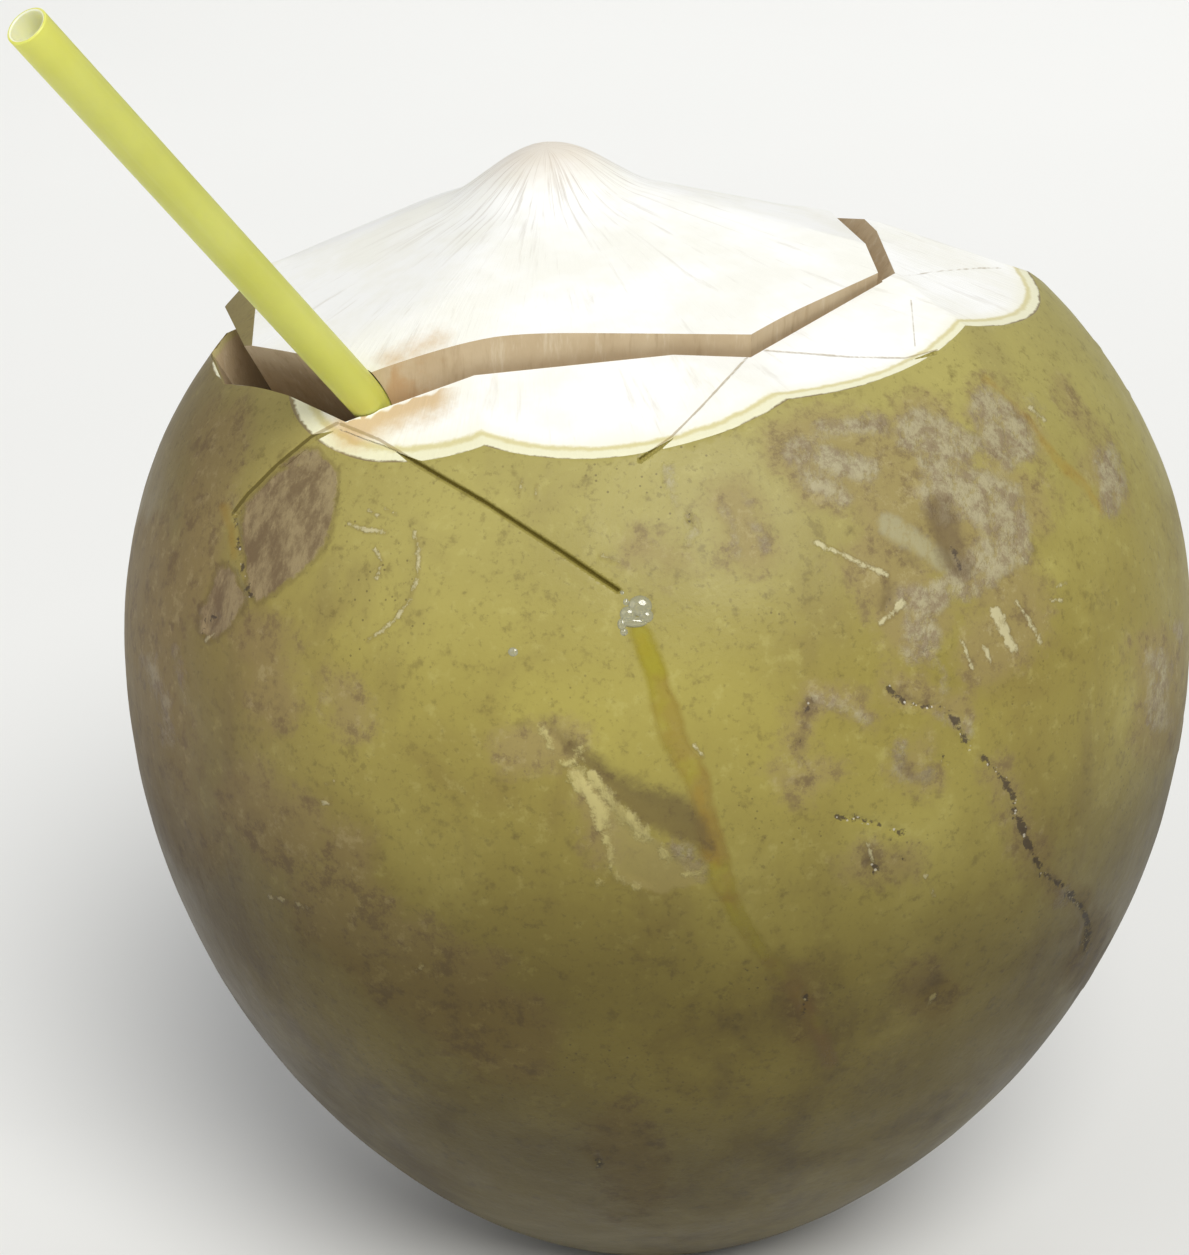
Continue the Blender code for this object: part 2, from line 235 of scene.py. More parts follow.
STROKES["pale"] = strokes(
    (0.26, 415, 533, 419, 556, 417, 580, 408, 602, 393, 621), (0.3, 393, 621, 381, 632, 368, 640),
    (0.4, 350, 524, 366, 530, 384, 532), (0.22, 369, 511, 384, 518), (0.2, 386, 509, 397, 515),
    (0.22, 375, 549, 382, 560, 377, 578), (0.38, 816, 542, 852, 559, 888, 575),
    (0.85, 996, 612, 1005, 632, 1013, 648), (0.24, 1017, 602, 1029, 620, 1041, 643),
    (0.3, 1021, 555, 1026, 563), (0.2, 1051, 600, 1063, 601), (0.18, 1056, 587, 1066, 582),
    (0.2, 962, 640, 972, 668), (0.2, 984, 646, 994, 670), (0.6, 882, 622, 892, 612, 903, 602),
    (0.26, 326, 784, 334, 781), (0.24, 322, 801, 330, 804), (0.22, 270, 897, 284, 899),
    (0.2, 296, 903, 308, 908), (0.24, 417, 970, 424, 966), (0.22, 600, 556, 619, 561),
    (0.14, 519, 497, 522, 480), (0.14, 536, 498, 537, 484), (0.26, 928, 1003, 936, 994),
    (0.2, 926, 877, 934, 896), (0.22, 866, 842, 873, 862), (0.22, 695, 745, 703, 757),
    (0.24, 206, 640, 214, 634), (0.3, 1030, 408, 1044, 420),
)
print({kind: len(marks) for kind, marks in STROKES.items()})

# %% Corky scuffs, rubbed places, dents and bruises on the front
STROKES["cork"] = strokes(
    (1.6, 820, 432, 850, 426, 880, 424), (2.3, 801, 453, 836, 459, 867, 470),
    (1.6, 811, 478, 828, 488, 846, 499), (3.6, 918, 430, 938, 440, 958, 444),
    (2.4, 930, 456, 946, 470, 956, 482), (4.2, 946, 494, 972, 490, 1000, 504),
    (3.9, 1002, 512, 1010, 532, 1008, 550), (3.2, 996, 556, 980, 570, 964, 580),
    (2.4, 944, 590, 926, 606, 912, 596), (2.6, 920, 628, 930, 640), (3.9, 990, 412, 1004, 426, 1014, 444),
    (1.4, 1014, 452, 1010, 464), (1.0, 1030, 400, 1044, 416), (2.3, 1106, 458, 1112, 480, 1110, 506),
    (0.9, 936, 660, 947, 674, 945, 690), (0.8, 906, 650, 914, 660),
    (0.8, 812, 698, 832, 702, 850, 708, 866, 720), (0.6, 903, 742, 899, 768), (0.5, 905, 778, 930, 774),
    (0.9, 1064, 888, 1060, 902), (0.9, 938, 712, 950, 722, 966, 730), (0.5, 668, 470, 671, 488, 673, 508),
    (0.5, 690, 520, 698, 528, 686, 542), (0.5, 740, 488, 752, 512, 758, 536, 764, 550),
    (0.8, 726, 512, 734, 530, 738, 556), (1.8, 1158, 660, 1160, 722), (0.9, 1172, 622, 1178, 634),
    (0.5, 652, 540, 664, 552), (1.6, 676, 846, 690, 858, 702, 868), (1.0, 150, 660, 166, 700, 170, 740),
    (0.8, 176, 650, 186, 700),
)
STROKES["rubbed"] = strokes(
    (1.9, 888, 524, 906, 536, 930, 552, 950, 566), (1.3, 826, 456, 858, 465),
)
STROKES["dent"] = strokes(
    (1.2, 808, 706, 804, 730, 797, 760), (1.3, 786, 780, 812, 780), (1.2, 896, 692, 922, 704, 946, 706),
    (1.0, 902, 758, 908, 776, 930, 774), (1.0, 866, 862, 880, 870), (1.3, 922, 990, 940, 980),
    (3.0, 938, 512, 946, 540, 954, 562), (1.8, 908, 556, 916, 564), (1.4, 890, 590, 884, 604),
)
STROKES["bruise"] = strokes(
    (0.5, 1060, 384, 1076, 410, 1090, 430), (4.5, 795, 445, 840, 440, 885, 445), (3.6, 815, 480, 850, 488),
    (5.5, 920, 430, 940, 460), (7.5, 900, 500, 950, 530, 1000, 510), (5.5, 880, 560, 900, 590, 920, 620),
    (5.0, 1000, 570, 1020, 620, 980, 650), (4.0, 990, 410, 1020, 440), (3.0, 735, 500, 750, 550),
    (2.2, 640, 548, 670, 560), (2.0, 780, 778, 806, 780, 822, 768), (1.1, 812, 700, 802, 722, 796, 752),
    (0.8, 812, 696, 840, 698, 866, 716), (2.0, 895, 692, 950, 705), (0.9, 925, 735, 906, 772, 934, 778),
    (1.6, 1000, 776, 1019, 824, 1045, 874, 1080, 905), (2.6, 1090, 930, 1084, 970),
    (3.5, 440, 968, 482, 972), (3.5, 345, 850, 352, 868), (3.5, 915, 985, 940, 1000),
    (2.2, 800, 990, 804, 1030), (2.6, 865, 860, 902, 864), (2.4, 1098, 456, 1112, 500),
    (3.6, 1160, 650, 1164, 735), (6.0, 150, 560, 140, 640, 150, 720), (4.0, 150, 720, 170, 800, 200, 850),
    (3.6, 225, 430, 200, 520, 190, 600), (3.0, 340, 690, 350, 720), (3.4, 262, 640, 276, 700),
    (6.5, 330, 900, 420, 980, 520, 1040), (5.0, 250, 800, 300, 840), (5.0, 620, 1140, 640, 1180),
    (3.0, 520, 748, 560, 740), (2.0, 590, 800, 600, 850),
)
print({kind: len(marks) for kind, marks in STROKES.items()})

# %% Wet trail, amber stains, and the torn place with its fringe
STROKES["wet"] = strokes(
    (1.7, 638, 630, 648, 650, 656, 676, 661, 700), (2.2, 661, 700, 672, 735, 688, 762),
    (2.0, 688, 762, 699, 784, 706, 818, 714, 852, 724, 884),
    (1.3, 724, 884, 738, 918, 764, 952, 790, 980, 812, 1016, 830, 1062),
)
STROKES["amber"] = strokes(
    (0.5, 985, 378, 1002, 392, 1018, 408, 1030, 420, 1042, 440),
    (0.9, 1042, 440, 1062, 464, 1088, 488, 1100, 510), (0.9, 224, 508, 231, 530, 234, 556),
    (3.4, 352, 428, 380, 414, 404, 404, 430, 396), (1.1, 385, 362, 410, 352, 440, 340),
    (1.1, 700, 790, 706, 830, 716, 866), (1.2, 640, 640, 646, 652),
)
STROKES["fringe"] = strokes(
    (0.5, 543, 727, 549, 738, 554, 749), (0.8, 563, 764, 574, 762, 582, 772), (0.5, 580, 749, 584, 762),
    (1.25, 574, 776, 586, 790, 598, 806, 604, 818), (0.9, 590, 776, 604, 792, 614, 806),
    (1.25, 621, 814, 634, 826, 646, 834), (0.55, 600, 822, 608, 842, 612, 866, 618, 878),
    (0.45, 598, 884, 606, 884), (0.45, 618, 878, 630, 884, 647, 892), (0.7, 662, 850, 670, 858),
    (0.5, 684, 874, 702, 873),
)
PATCHES["peeled"] = [
    ring(
        262, 488, 276, 474, 300, 462, 322, 458, 338, 470, 337, 494, 330, 520, 326, 542, 311, 568, 296, 580,
        280, 592, 256, 604, 247, 584, 240, 552, 240, 522, 246, 502),
    ring(
        224, 560, 236, 572, 246, 596, 240, 612, 226, 628, 209, 640, 199, 630, 200, 610, 208, 590),
    ring(
        302, 448, 318, 452, 326, 462, 306, 466, 288, 470, 276, 466),
]
PATCHES["tear"] = [
    ring(
        541, 720, 566, 738, 595, 758, 621, 776, 652, 790, 682, 798, 706, 819, 712, 850, 690, 846, 660, 836,
        640, 824, 620, 804, 598, 784, 574, 760),
]
PATCHES["flap"] = [
    ring(
        560, 758, 590, 770, 612, 796, 646, 829, 676, 852, 710, 866, 706, 884, 660, 896, 620, 886, 608, 860,
        602, 830, 586, 800, 570, 776),
]
print({kind: len(marks) for kind, marks in (*STROKES.items(), *PATCHES.items())})

# %% [markdown]
# The sides that the picture doesn't show get blemishes too, or the fruit would look bare
# from behind. They are scattered by a seeded random walk, with the same kinds and sizes.

# %% Scattered blemishes for the unseen sides
chance = np.random.default_rng(7)
SCATTER = {}
for kind, count, width, length in (
    ("pale", 26, 0.40, 60),
    ("dark", 10, 0.45, 70),
    ("cork", 14, 1.3, 40),
    ("bruise", 15, 5.0, 80),
    ("wet", 1, 1.6, 200),
    ("slit", 3, 0.18, 90),
):
    marks = []
    for _ in range(count):
        place = np.array([chance.uniform(250, 1000), chance.uniform(430, 1120)])
        heading = chance.uniform(0, math.tau)
        points = [tuple(place)]
        for _ in range(3):
            heading += chance.normal(0, 0.5)
            step = length / 3 * chance.uniform(0.5, 1.2)
            place = place + step * np.array([math.cos(heading), math.sin(heading)])
            points.append(tuple(place))
        marks.append((width * chance.uniform(0.6, 1.3), points))
    SCATTER[kind] = marks
TURNS = {0.0: STROKES, math.radians(115): SCATTER, math.radians(-118): SCATTER}
print(sum(len(m) for m in SCATTER.values()), "scattered blemishes, used on two sides")

# %% [markdown]
# How far a point of the skin lies inside a stroke is worked out for all points at once. The
# answer is positive inside and negative outside, in millimetres. Such a field can be stored
# on a mesh, and a shader turns it into a crisp or a ragged edge by adding noise to it.


# %% Depth of points inside strokes and patches
def inside_strokes(spots, marks, reach=4.0):
    """For each picture point, millimetres inside the nearest stroke (negative outside)."""
    best = np.full(len(spots), -reach)
    for width, points in marks:
        line = np.array(points, float)
        low = line.min(0) - PIXELS_PER_MM * (width + reach)
        high = line.max(0) + PIXELS_PER_MM * (width + reach)
        near = np.nonzero(((spots > low) & (spots < high)).all(1))[0]
        if not len(near):
            continue
        some = spots[near]
        away = np.full(len(near), 1e9)
        for start, end in zip(line, line[1:]):
            along = end - start
            share = np.clip(((some - start) @ along) / max(along @ along, 1e-9), 0, 1)
            gap = np.linalg.norm(some - start - share[:, None] * along, axis=1)
            away = np.minimum(away, gap / PIXELS_PER_MM)
        best[near] = np.maximum(best[near], width - away)
    return best


def inside_patch(spots, corners, reach=4.0):
    """For each picture point, millimetres inside a closed patch (negative outside)."""
    ring = np.array(corners, float)
    edge = inside_strokes(spots, [(0.0, [*corners, corners[0]])], reach)
    odd = np.zeros(len(spots), bool)
    for a, b in zip(ring, np.roll(ring, -1, axis=0)):
        crosses = (a[1] > spots[:, 1]) != (b[1] > spots[:, 1])
        rise = b[1] - a[1] if b[1] != a[1] else 1e-9
        odd ^= crosses & (spots[:, 0] < a[0] + (spots[:, 1] - a[1]) * (b[0] - a[0]) / rise)
    return np.where(odd, np.abs(edge), edge)


def facing(points, outward, turn):
    """Which points face the eye once the fruit is turned."""
    c, s = math.cos(-turn), math.sin(-turn)
    eye = np.array([c * EYE.x - s * EYE.y, s * EYE.x + c * EYE.y, EYE.z])
    return np.einsum("ij,ij->i", eye - points, outward) > 0.0


def blemish_field(points, outward, kind, reach=4.0):
    """The field of one kind of blemish over all sides of the fruit."""
    total = np.full(len(points), -reach)
    for turn, sets in TURNS.items():
        spots, _ = seen_at(points, turn)
        toward = facing(points, outward, turn)
        hidden = (turn != 0.0) & facing(points, outward, 0.0) & (points[:, 1] < 0.012)
        here = toward & ~hidden
        if kind in PATCHES:
            values = np.full(len(points), -reach)
            for corners in PATCHES[kind] if turn == 0.0 else ():
                values = np.maximum(values, inside_patch(spots, corners, reach))
        else:
            values = inside_strokes(spots, sets.get(kind, []), reach)
        total = np.where(here, np.maximum(total, values), total)
    return total


print("field helpers ready")

# %% [markdown]
# ## The uncut fruit
# An icosphere has triangles of nearly one size everywhere, with no poles where they crowd,
# so it is the best start for a fruit. Each point keeps its direction and moves to the
# fruit's own radius. Then the triangles near thin blemishes are split twice, which puts the
# fine mesh only where a fine line needs it, and once more along the knife lines.


# %% Shape a ball into the fruit
def onto_fruit(verts):
    """Move points to the surface of the uncut fruit, keeping their height and turn."""
    place = np.array([v.co for v in verts])
    height = np.clip(place[:, 2], -LOWER[0], UPPER[0])
    turn = np.arctan2(place[:, 0], -place[:, 1])
    radius = fruit_radius(height, turn)
    for v, h, t, r in zip(verts, height, turn, radius):
        v.co = (r * math.sin(t), -r * math.cos(t), h)


def ball_to_fruit(detail):
    """A closed fruit form about the origin, from an icosphere."""
    bm = bmesh.new()
    bmesh.ops.create_icosphere(bm, subdivisions=detail, radius=1.0)
    for v in bm.verts:
        v.co.z *= UPPER[0] if v.co.z > 0 else LOWER[0]
    onto_fruit(list(bm.verts))
    return bm


def arrays_of(bm):
    """Positions in the row frame and outward directions of all points."""
    lift = Vector((0.0, 0.0, EQUATOR_HEIGHT))
    bm.normal_update()
    place = np.array([v.co + lift for v in bm.verts])
    outward = np.array([v.normal for v in bm.verts])
    return place, outward


print("a ball of detail 5 has", len(ball_to_fruit(5).verts), "points")


# %% Split the triangles that a thin blemish crosses
def refine_near(bm, kinds, reach, flats=False):
    """Split the edges within a distance in millimetres of the given blemishes."""
    place, outward = arrays_of(bm)
    field = np.full(len(place), -9.0)
    for kind in kinds:
        field = np.maximum(field, blemish_field(place, outward, kind, reach + 1.0))
    bm.verts.index_update()
    edges = [e for e in bm.edges if max(field[e.verts[0].index], field[e.verts[1].index]) > -reach
             and all((f.material_index == 1) == flats for f in e.link_faces)]
    made = bmesh.ops.subdivide_edges(bm, edges=edges, cuts=1, use_grid_fill=True)
    new = [item for item in made["geom_inner"] if isinstance(item, bmesh.types.BMVert)]
    if not flats:
        onto_fruit(new)
    bmesh.ops.triangulate(bm, faces=[f for f in bm.faces if len(f.verts) > 3])
    return len(new)


DETAIL = 7
husk_form = ball_to_fruit(DETAIL)
print("split:", refine_near(husk_form, ("slit", "pale", "dark", "cork", "fringe", "tear"), 1.5))
print("split again:", refine_near(husk_form, ("slit", "pale", "dark", "fringe"), 0.7))
print("and once more:", refine_near(husk_form, ("slit",), 0.3))
print("the fruit now has", len(husk_form.faces), "faces")

# %% [markdown]
# ## Relief of the skin
# Skin isn't a perfect curve: it swells and dips a little, knife lines are grooves, dried
# scratches stand as low ridges and a torn place is a hollow. The points are moved inward
# only, so that the fruit never grows past its solid.


# %% Move the skin
RELIEF = (
    ("slit", 0.35, 0.60, 0.00080),
    ("dark", 0.40, 0.80, 0.00030),
    ("peeled", 0.20, 0.80, 0.00030),
    ("tear", 1.20, 3.60, 0.00060),
    ("flap", 0.40, 2.00, 0.00045),
    ("dent", 1.00, 3.50, 0.00040),
    ("pale", 0.30, 0.60, -0.00010),
    ("cork", 0.40, 0.90, -0.00006),
    ("fringe", 0.40, 1.40, -0.00030),
)


def give_relief(bm):
    """Dips, grooves and tears, all inward, in metres: kind, start, full and depth of each."""
    place, outward = arrays_of(bm)
    depth = np.array([
        0.00018 + 0.00042 * (0.5 - 0.5 * noise.noise(Vector(p) * 38.0))
        + 0.00012 * (0.5 - 0.5 * noise.noise(Vector(p) * 170.0)) for p in place])
    for kind, start, full, deep in RELIEF:
        field = blemish_field(place, outward, kind)
        depth += deep * np.clip((field + start) / full, 0.0, 1.0)
    for v, normal, inward in zip(bm.verts, outward, np.maximum(depth, 0.0)):
        v.co -= Vector(normal) * inward


give_relief(husk_form)
print("relief given to", len(husk_form.verts), "points")

# %% [markdown]
# ## Shaving the crown
# A seller shaves the crown with a heavy knife before opening it. Each shave is a flat. The
# mesh is first scored along the flat with bisect_plane, which gives the rim a true edge, and
# the points above are then let down onto the flat. Unlike a plain cut and fill, this keeps
# the fine mesh on the flat, so that it can carry grain and small waves.


# %% Score and press the shaves
def shave_plane(shave):
    tilt, side = math.radians(shave[0]), math.radians(shave[1])
    return Vector((math.sin(tilt) * math.sin(side), -math.sin(tilt) * math.cos(side), math.cos(tilt)))


def shave_crown(bm, shaves):
    """Press the crown down to each flat in turn."""
    for shave in shaves.values():
        up = shave_plane(shave)
        point = Vector((0.0, 0.0, shave[2]))
        top = [f for f in bm.faces if f.calc_center_median().z > 0.02]
        geom = top + list({e for f in top for e in f.edges}) + list({v for f in top for v in f.verts})
        bmesh.ops.bisect_plane(bm, geom=geom, dist=1e-6, plane_co=point, plane_no=up)
        for v in bm.verts:
            over = (v.co - point).dot(up)
            if over > 0.0:
                v.co.z -= over / up.z
    bmesh.ops.dissolve_degenerate(bm, dist=1e-6, edges=bm.edges[:])
    bmesh.ops.remove_doubles(bm, verts=bm.verts[:], dist=2e-6)
    for shave in shaves.values():
        up = shave_plane(shave)
        point = Vector((0.0, 0.0, shave[2]))
        for f in bm.faces:
            if max(abs((v.co - point).dot(up)) for v in f.verts) < 3e-6:
                f.material_index = 1


def rest_flat(bm):
    """Cut and close the small flat that the fruit rests on."""
    foot = Vector((0.0, 0.0, -EQUATOR_HEIGHT))
    everything = bm.verts[:] + bm.edges[:] + bm.faces[:]
    cut = bmesh.ops.bisect_plane(
        bm, geom=everything, dist=1e-6, plane_co=foot, plane_no=(0, 0, -1), clear_outer=True)
    rim = [e for e in cut["geom_cut"] if isinstance(e, bmesh.types.BMEdge)]
    bmesh.ops.contextual_create(bm, geom=rim)


shave_crown(husk_form, HUSK_SHAVES)
print("flats split:", [refine_near(husk_form, ("slit",), reach, True) for reach in (1.2, 0.6)])
rest_flat(husk_form)
bmesh.ops.translate(husk_form, verts=husk_form.verts[:], vec=(0, 0, EQUATOR_HEIGHT))
print("shaved fruit:", len(husk_form.faces), "faces")


# %% Turn finished mesh work into a piece
def smooth_sides(piece, below=30.0):
    """Shade smooth, except along edges sharper than an angle."""
    piece.data.shade_smooth()
    piece.data.set_sharp_from_angle(angle=math.radians(below))


def make_piece(name, bm, finishes):
    """A named object from a bmesh, with its finishes in order."""
    bmesh.ops.recalc_face_normals(bm, faces=bm.faces[:])
    data = bpy.data.meshes.new(name)
    bm.to_mesh(data)
    bm.free()
    for finish in finishes:
        data.materials.append(finish)
    piece = bpy.data.objects.new(name, data)
    smooth_sides(piece)
    bpy.context.scene.collection.objects.link(piece)
    return piece


husk = make_piece("husk_dressed", husk_form, [SKIN, SHAVED])
print(husk.name, len(husk.data.polygons))

# %% [markdown]
# ## Opening the mouth
# The mouth is the space between seven straight chops. Its cutter is a block trimmed by the
# same seven planes. A second cutter is the hollow that held the water, and a third is the
# channel that the straw has pressed. Booleans take all three out of the fruit, so the cuts
# stay crisp and the fruit stays one closed skin.


# %% Cutters
def chop_block(name, chops, trims, floor):
    """The block between the chops, each moved inward by its trim."""
    bm = bmesh.new()
    bmesh.ops.create_cube(bm, size=1.0)
    bmesh.ops.scale(bm, verts=bm.verts[:], vec=(0.24, 0.24, 0.20))
    bmesh.ops.translate(bm, verts=bm.verts[:], vec=(0, 0, EQUATOR_HEIGHT + floor + 0.10))
    for (direction, point), trim in zip(chops, trims):
        out = Vector(direction).normalized()
        place = Vector(point) + Vector((0, 0, EQUATOR_HEIGHT)) - out * trim
        geom = bm.verts[:] + bm.edges[:] + bm.faces[:]
        cut = bmesh.ops.bisect_plane(
            bm, geom=geom, dist=1e-6, plane_co=place, plane_no=out, clear_outer=True)
        rim = [e for e in cut["geom_cut"] if isinstance(e, bmesh.types.BMEdge)]
        bmesh.ops.contextual_create(bm, geom=rim)
    return make_piece(name, bm, [CHOPPED])


def hollow_form(name):
    bm = bmesh.new()
    bmesh.ops.create_uvsphere(bm, u_segments=64, v_segments=36, radius=1.0)
    bmesh.ops.scale(bm, verts=bm.verts[:], vec=(HOLLOW[0], HOLLOW[0], HOLLOW[1]))
    bmesh.ops.translate(bm, verts=bm.verts[:], vec=(0, 0, EQUATOR_HEIGHT + HOLLOW[2]))
    return make_piece(name, bm, [FLESH])


STRAW_TURN = STRAW_LEAN.to_track_quat("Z", "X").to_matrix().to_4x4()
STRAW_PLACE = Matrix.Translation(STRAW_POINT) @ STRAW_TURN


def straw_rod(name, radius, down, up):
    bm = bmesh.new()
    bmesh.ops.create_cone(bm, cap_ends=True, segments=40, radius1=radius, radius2=radius, depth=down + up)
    bmesh.ops.translate(bm, verts=bm.verts[:], vec=(0, 0, 0.5 * (up - down)))
    bmesh.ops.transform(bm, matrix=STRAW_PLACE, verts=bm.verts[:])
    return make_piece(name, bm, [CHOPPED])


mouth = chop_block("mouth_cutter", CHOPS, MOUTH_TRIMS, MOUTH_FLOOR)
bevel = chop_block("bevel_cutter", CHOPS[:2] + (BEVEL,) + CHOPS[3:], BEVEL_TRIMS, BEVEL_FLOOR)
plug = chop_block("lid_keeper", CHOPS, LID_TRIMS, LID_FLOOR)
hollow = hollow_form("hollow_cutter")
channel = straw_rod("straw_channel_cutter", STRAW_RADIUS + 0.00018, STRAW_REACH[0], 0.020)
print("cutters:", [c.name for c in (mouth, bevel, plug, hollow, channel)])


# %% Cut
def combine(piece, cutter, operation):
    """Apply one Boolean and settle it into the mesh."""
    step = piece.modifiers.new("cut", "BOOLEAN")
    step.operation, step.solver, step.object = operation, "EXACT", cutter
    step.material_mode = "TRANSFER"
    bpy.context.view_layer.update()
    graph = bpy.context.evaluated_depsgraph_get()
    settled = bpy.data.meshes.new_from_object(piece.evaluated_get(graph))
    piece.modifiers.clear()
    piece.data = settled


for cutter in (mouth, bevel, hollow, channel):
    combine(husk, cutter, "DIFFERENCE")
smooth_sides(husk)
print("opened fruit:", len(husk.data.polygons), "faces", [m.name for m in husk.data.materials])

# %% [markdown]
# ## The lid
# The lid is the crown that the chops freed, so it starts as a second copy of the shaved
# fruit and only what lies between the chops is kept. Its underside is the roof of the
# hollow. In the middle the shaves leave a low rounded knob where the stalk was. It then
# moves as the real one did: back, up, and tilted by the straw that wedges it.

# %% Lid form, with heights counted from the widest section
BLANK_ABOVE = 0.010
CROWN_ABOVE = 0.030
ROUNDED_ABOVE = 0.046
ROUNDED_LEFT_OF = 0.019
KNOB_ABOVE = 0.055
SMALL_GAP = 0.0001
lid_form = ball_to_fruit(DETAIL)
low_part = [f for f in lid_form.faces if f.calc_center_median().z < BLANK_ABOVE]
bmesh.ops.delete(lid_form, geom=low_part, context="FACES")
rim = [e for e in lid_form.edges if e.is_boundary]
bmesh.ops.contextual_create(lid_form, geom=rim)
give_relief(lid_form)
shave_crown(lid_form, LID_SHAVES)
end = shave_plane(LID_END)
end_point = Vector((0.0, 0.0, LID_END[2]))
everything = lid_form.verts[:] + lid_form.edges[:] + lid_form.faces[:]
bmesh.ops.bisect_plane(lid_form, geom=everything, dist=1e-6, plane_co=end_point, plane_no=end)
for f in lid_form.faces:
    if (f.calc_center_median() - end_point).dot(end) > 0.0:
        f.material_index = 0
for v in lid_form.verts:
    over = (v.co - end_point).dot(end)
    if over > 0.0 and v.co.z > CROWN_ABOVE:
        v.co.z -= over / end.z
flats = [v for v in lid_form.verts if v.co.x < ROUNDED_LEFT_OF and (v.co - end_point).dot(end) < -0.001
         and all(f.calc_center_median().z > ROUNDED_ABOVE for f in v.link_faces)]
axes = {"use_axis_x": True, "use_axis_y": True, "use_axis_z": True}
for _ in range(LID_ROUNDS):
    bmesh.ops.smooth_vert(lid_form, verts=flats, factor=0.5, **axes)
for v in lid_form.verts:
    away = math.hypot(v.co.x - KNOB_PLACE[0], v.co.y - KNOB_PLACE[1])
    if v.co.z > KNOB_ABOVE and away < KNOB_REACH[1]:
        share = min(max((away - KNOB_REACH[0]) / (KNOB_REACH[1] - KNOB_REACH[0]), 0.0), 1.0)
        v.co.z += (KNOB_RISE - SMALL_GAP) * (1 - share * share * (3 - 2 * share))
bmesh.ops.translate(lid_form, verts=lid_form.verts[:], vec=(0, 0, EQUATOR_HEIGHT))
lid = make_piece("lid_dressed", lid_form, [SKIN, SHAVED_LID])
combine(lid, plug, "INTERSECT")
combine(lid, hollow, "DIFFERENCE")
lid.data.transform(LID_SETTLE)
combine(lid, channel, "DIFFERENCE")
for cutter in (mouth, bevel, plug, hollow, channel):
    bpy.data.objects.remove(cutter, do_unlink=True)
smooth_sides(lid)
print("lid:", len(lid.data.polygons), "faces")

# %% [markdown]
# ## The straw
# The straw is one thin plastic tube. Its wall is a small closed profile with a rounded lip
# at each end, and spin sweeps that profile round the axis, which gives a true open bore.

# %% Straw
bm = bmesh.new()
outer, inner = STRAW_RADIUS, STRAW_BORE
low, high = -STRAW_REACH[0], STRAW_REACH[1]
lip = 0.25 * (outer - inner)
profile = [
    (outer, low + lip), (outer, high - lip), (outer - lip, high), (inner + lip, high),
    (inner, high - lip), (inner, low + lip), (inner + lip, low), (outer - lip, low),
]
wall = [bm.verts.new((r, 0.0, z)) for r, z in profile]
edges = [bm.edges.new((a, b)) for a, b in zip(wall, wall[1:] + wall[:1])]
bmesh.ops.spin(
    bm, geom=wall + edges, cent=(0, 0, 0), axis=(0, 0, 1), angle=math.tau, steps=48, use_merge=True)
bmesh.ops.remove_doubles(bm, verts=bm.verts[:], dist=1e-6)
bmesh.ops.transform(bm, matrix=STRAW_PLACE, verts=bm.verts[:])
straw = make_piece("straw_dressed", bm, [STRAW])
print("straw:", len(straw.data.polygons), "faces")

# %% [markdown]
# ## Finishes
# Colours are given as they look on a screen, from 0 to 255, and turned into the linear
# values that a shader needs. A short helper class adds nodes, so that each finish below
# reads as a recipe: what is mixed, how much of it, and where.


# %% Colour and node helpers
def paint(red, green, blue):
    """A linear colour from screen values of 0 to 255."""
    parts = [c / 255 for c in (red, green, blue)]
    linear = [p / 12.92 if p <= 0.04045 else ((p + 0.055) / 1.055) ** 2.4 for p in parts]
    return (*linear, 1.0)


